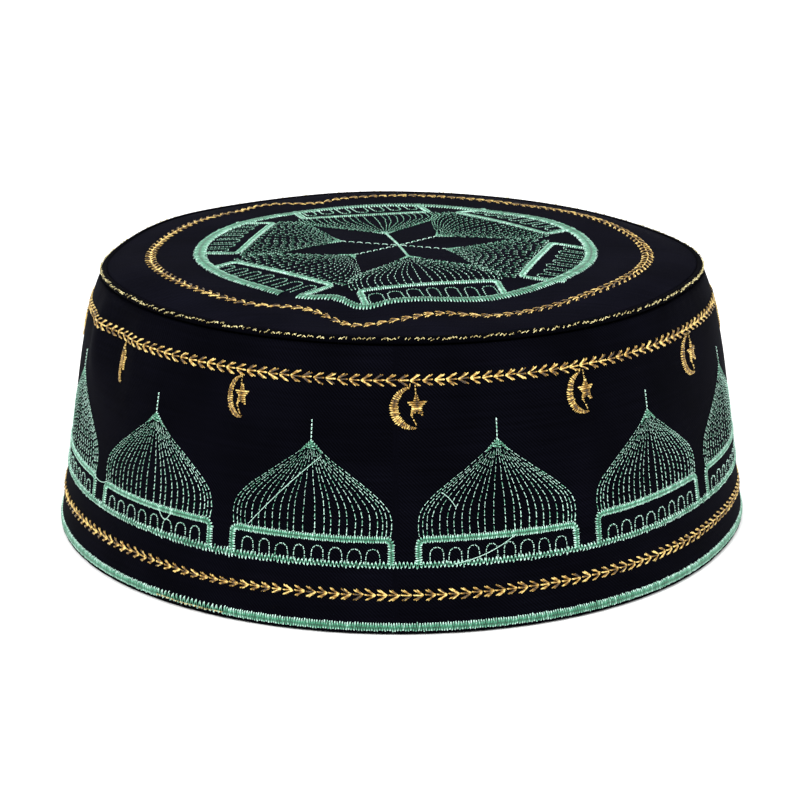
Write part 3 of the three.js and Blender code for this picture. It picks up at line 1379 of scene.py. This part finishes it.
@dataclass
class SeamStitches(Motif):
    """Uneven hand whip stitches over the welt."""

    patch: WeltPatch
    pitch: float = 1.1
    middle: float = 0.55  # where they lie on the welt, from its outer side up
    lean: float = 0.65  # how far each one runs ahead
    reach: float = 0.3  # how far the shortest one runs across the welt
    doubled: float = 0.3  # share of them that have a second one over them
    whip_lay: ClassVar[Lay] = Lay(0.27, 0.2, 0.35, 0.3)
    second_lay: ClassVar[Lay] = Lay(0.3, 0.25, 0.6)
    finish: ClassVar[RayonThread] = PALE_GOLD

    def stitch(self, work: Needlework) -> None:
        """Sews the whip stitches, and a second short one over some of them."""
        length = 2 * math.pi * self.patch.ring
        count = round(length / self.pitch)
        u = np.arange(count) * length / count + 0.3 * work.random.standard_normal(count)
        v = self.middle + 0.14 * work.random.standard_normal(count)
        lean = self.lean + 0.25 * work.random.standard_normal(count)
        reach = self.reach + 0.3 * work.random.random(count)
        start = np.stack([u, v - reach / 2], 1)
        end = np.stack([u + lean, v + reach / 2], 1)
        work.sew(self.patch, start, end, self.whip_lay)
        some = work.random.random(count) < self.doubled
        second = np.stack([u + 0.4, v + 0.15], 1)[some]
        work.sew(self.patch, second, second + [0.45, -0.3], self.second_lay)


# Jump threads on the side: both ends as (angle, height), and their bow as a share of their length.
LOOSE_THREADS = (
    ((-24.1, 24.0), (-12.3, 42.3), 0.02),
    ((8.5, 16.7), (18.5, 22.6), -0.06),
    ((-41.7, 23.2), (-38.7, 23.4), -0.6),
    ((6.7, 34.0), (8.9, 30.3), 0.06),
    ((-61.3, 23.2), (-55.9, 23.8), -0.12),
)


@dataclass
class LooseThreads(Motif):
    """The jump threads and small loops that the needle left on the side."""

    patch: BandPatch
    lay: ClassVar[Lay] = Lay(0.19, 0.45, 0.85, 0.05, Stitch.LAID)

    def stitch(self, work: Needlework) -> None:
        """Lays each thread as a bowed line of short lengths."""
        scale = math.radians(1) * self.patch.radius
        share = np.linspace(0, 1, 9)[:, None]
        for a, b, bow in LOOSE_THREADS:
            first, last = np.array([a[0] * scale, a[1]]), np.array([b[0] * scale, b[1]])
            aside = np.array([first[1] - last[1], last[0] - first[0]])
            path = first + (last - first) * share
            path = path + aside * bow * 4 * share * (1 - share)
            work.sew(self.patch, path[:-1], path[1:], self.lay)


# The six domes of the crown: angle, distances of the bar and of the tip from the middle, how far
# the foot lies aside, and how far out of square it is.
CROWN_DOMES = (
    (15.0, 38.2, 13.0, -3.4, 0.0),
    (-45.0, 38.6, 15.6, -3.0, -0.04),
    (-105.0, 39.6, 16.4, -1.8, -0.06),
    (-165.0, 38.4, 14.9, -1.6, 0.04),
    (135.0, 39.6, 14.9, 0.4, 0.07),
    (75.0, 37.2, 13.6, -3.4, 0.03),
)

# The boxes of the side that are taller than the rest, by how many millimetres.
TALL_BOXES = {2: 1.25, 3: 1.1}

# The crescents on cloth that pulled together: their width as a share, and how far they shift.
PULLED_CRESCENTS = {2: (0.88, -0.6), 11: (0.38, 0.0), 12: (0.66, 0.0)}


@dataclass
class Embroidery:
    """All the thread on the cap, from its foot up to the middle of the crown."""

    band: BandFace
    crown: CrownFace
    motifs: int = 12
    dome_angle: float = 15.97
    crescent_angle: float = 0.0
    crescent_height: float = 55.0
    hem_middle: float = 1.75
    hem_breadth: float = 1.95
    low_chain: float = 9.5
    foot_line: float = 16.7
    foot_breadth: float = 1.4
    high_chain: float = 60.4
    crown_chain: float = 65.9
    ring_outer: float = 53.9
    ring_breadth: float = 3.0
    ring_middle: tuple[float, float] = (-0.5, -0.3)
    dome_middle: tuple[float, float] = (0.0, -1.9)
    crown_foot: float = 50.6

    def radius_at(self, height: float) -> float:
        """Mean radius of the side at a height."""
        turns = np.linspace(0, 2 * math.pi, 360, endpoint=False)
        return float(self.band.offset(turns, np.full(360, height)).mean())

    def round_band(self, height: float) -> tuple[BandPatch, float]:
        """A sheet for a line all round the side at a height, and the line's length."""
        radius = self.radius_at(height)
        return BandPatch(self.band, 0.0, radius), 2 * math.pi * radius

    def side_rings(self) -> None:
        """Sews the hem border, the foot line of the boxes and both chains of the side."""
        opening, closing = (angle / 360 for angle in HEM_OPENS)
        patch, length = self.round_band(self.hem_middle)
        SatinRing(
            patch, "hem_border", 1, length, self.hem_middle, self.hem_breadth,
            pitch=0.31, thread=0.36, tone=0.24, start=closing, end=opening + 1,
        ).build()
        SatinRing(
            patch, "hem_open_stitches", 10, length, self.hem_middle + 0.1, self.hem_breadth,
            pitch=0.6, thread=0.3, tone=0.45, ragged=0.12, start=opening, end=closing,
        ).build()
        HemBobbin(patch, "hem_bobbin", 9, self.hem_middle - 0.3).build()
        patch, length = self.round_band(self.foot_line)
        SatinRing(
            patch, "foot_line", 2, length, self.foot_line, self.foot_breadth,
            pitch=0.47, thread=0.29, tone=0.4, ragged=0.18,
        ).build()
        for name, seed, height, way in (
            ("low_chain", 3, self.low_chain, Way.WITH_ANGLE),
            ("high_chain", 4, self.high_chain, Way.AGAINST_ANGLE),
        ):
            patch, length = self.round_band(height)
            ChevronChain(patch, name, seed, length, height, way).build()

    def side_motifs(self) -> None:
        """Sews the domes and crescents round the side."""
        low, high = self.radius_at(self.foot_line), self.radius_at(self.crescent_height)
        for i in range(self.motifs):
            turn = i * 360 / self.motifs
            flat = BandPatch(self.band, self.dome_angle + turn, low)
            dome = DomeMotif(
                MovedPatch(flat, 1.0, 0.0, self.foot_line), f"side_dome_{i + 1:02d}", 20 + i,
            )
            taller = TALL_BOXES.get(i + 1, 0.0)
            replace(
                dome, box_height=dome.box_height + taller,
                dome_height=dome.dome_height - taller,
            ).build()
            squeeze, shift = PULLED_CRESCENTS.get(i + 1, (1.0, 0.0))
            CrescentMotif(
                BandPatch(self.band, self.crescent_angle + turn, high),
                f"crescent_{i + 1:02d}", 40 + i, self.high_chain - 1.0,
                squeeze=squeeze, shift=shift,
            ).build()

    def crown_rings(self) -> None:
        """Sews the chain and the medallion's ring on the crown."""
        ChevronChain(
            RingPatch(self.crown, self.crown_chain), "crown_chain", 5,
            2 * math.pi * self.crown_chain, 0.0, Way.WITH_ANGLE,
            height=2.8, lay=Lay(0.34, 0.16, 0.2, 0.42),
        ).build()
        middle = self.ring_outer - self.ring_breadth / 2
        SatinRing(
            RingPatch(self.crown, middle, self.ring_middle), "medallion_ring", 6,
            2 * math.pi * middle, 0.0, self.ring_breadth,
            pitch=0.4, thread=0.36, tone=0.1, start=-0.077, end=0.907,
        ).build()

    def crown_domes(self) -> None:
        """Sews the six domes of the crown, whose finials meet in the middle."""
        for i, (angle, bar, tip, aside, skew) in enumerate(CROWN_DOMES):
            turn = math.radians(angle)
            shift = self.dome_middle[0] * math.sin(turn) - self.dome_middle[1] * math.cos(turn)
            foot = self.crown_foot - shift
            upright = i % 3 == 0
            DomeMotif(
                RayPatch(self.crown, angle, foot, self.dome_middle, aside, skew),
                f"crown_dome_{i + 1}", 60 + i, box_half=18.7, box_height=foot - bar,
                bar=1.6, dome_half=19.9, dome_height=bar - tip, finial=tip, arches=7,
                arch_step=4.9, arch_width=3.1, arch_height=(foot - bar) * 0.62,
                rib_stitch=2.2, thread=0.2, rise=0.1, tone=0.12, gap=0.14 if upright else 0.3,
                dense=True, solid_finial=upright, finial_stitch=2.2, crooked=0.12,
            ).build()

    def build(self) -> None:
        """Sews everything."""
        self.side_rings()
        self.side_motifs()
        self.crown_rings()
        self.crown_domes()
        ring, half_width, height, half_depth = ring_of("seam_welt")
        welt = WeltPatch(ring, height, half_width, half_depth)
        SeamStitches(welt, "seam_stitches", 7).build()
        LooseThreads(self.round_band(self.foot_line)[0], "loose_threads", 8).build()


# The studio's square soft lights: name, place and side in metres, and power in watts.
LIGHTS = (
    ("key_light", (-0.9, -1.1, 1.3), 0.8, 26.0),
    ("fill_light", (1.2, -1.0, 0.9), 1.0, 14.0),
    ("top_light", (0.1, 0.5, 1.7), 1.0, 16.0),
)


@dataclass
class Studio:
    """White paper, soft light and the camera at the photo's angle."""

    distance: float = 650.0
    aim_height: float = 45.0
    elevation: float = 16.364
    lens: float = 108.33
    shift_x: float = 0.0017
    shift_y: float = -0.0685
    world_strength: float = 0.9
    light_aim: tuple[float, float, float] = (0.0, 0.0, 0.04)  # metres
    paper_radius: float = 9.0  # metres
    paper_drop: float = 0.0002  # metres below the cap, so that the two don't share a plane

    def paper(self) -> None:
        """Lays the background paper under the cap."""
        bpy.ops.mesh.primitive_circle_add(
            vertices=96, radius=self.paper_radius, fill_type="NGON",
        )
        floor = bpy.context.object
        floor.name = "paper"
        floor.location = (0, 0, -self.paper_drop)
        floor.data.materials.append(StudioPaper().material())

    def camera(self) -> None:
        """Sets the camera."""
        data = bpy.data.cameras.new("camera")
        data.lens, data.sensor_width = self.lens, 36.0
        data.shift_x, data.shift_y = self.shift_x, self.shift_y
        data.clip_start, data.clip_end = 0.02, 40.0
        camera = bpy.data.objects.new("camera", data)
        bpy.context.collection.objects.link(camera)
        tilt = math.radians(self.elevation)
        camera.location = (
            0, -self.distance * math.cos(tilt) * MM,
            (self.aim_height + self.distance * math.sin(tilt)) * MM,
        )
        camera.rotation_euler = (math.pi / 2 - tilt, 0, 0)
        bpy.context.scene.camera = camera

    def lights(self) -> None:
        """Hangs the soft lights, all facing the cap."""
        for name, place, side, power in LIGHTS:
            data = bpy.data.lights.new(name, "AREA")
            data.size, data.energy = side, power
            lamp = bpy.data.objects.new(name, data)
            lamp.location = place
            aim = Vector(self.light_aim) - Vector(place)
            lamp.rotation_euler = aim.to_track_quat("-Z", "Y").to_euler()
            bpy.context.collection.objects.link(lamp)

    def sky(self) -> None:
        """Surrounds the cap with even white light."""
        world = bpy.data.worlds.new("studio")
        world.use_nodes = True
        sky = world.node_tree.nodes["Background"]
        sky.inputs["Color"].default_value = (1, 1, 1, 1)
        sky.inputs["Strength"].default_value = self.world_strength
        bpy.context.scene.world = world

    def build(self) -> None:
        """Sets up the paper, the camera, the lights and the sky."""
        self.paper()
        self.camera()
        self.lights()
        self.sky()
        bpy.context.scene.view_settings.view_transform = "Standard"


def main() -> None:
    """Builds the cap and its studio."""
    logging.basicConfig(level=logging.INFO, format="%(name)s: %(message)s")
    low, high = (c.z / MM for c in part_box("side_band"))
    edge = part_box("crown_panel")[1].x / MM
    band = BandFace("side_band", low + 0.1, high - 0.1, 66)
    crown = CrownFace("crown_panel", 0.0, edge - 0.3, 78)
    ClothBody(band, crown).build()
    Embroidery(band, crown).build()
    Studio().build()


if __name__ == "__main__":
    main()
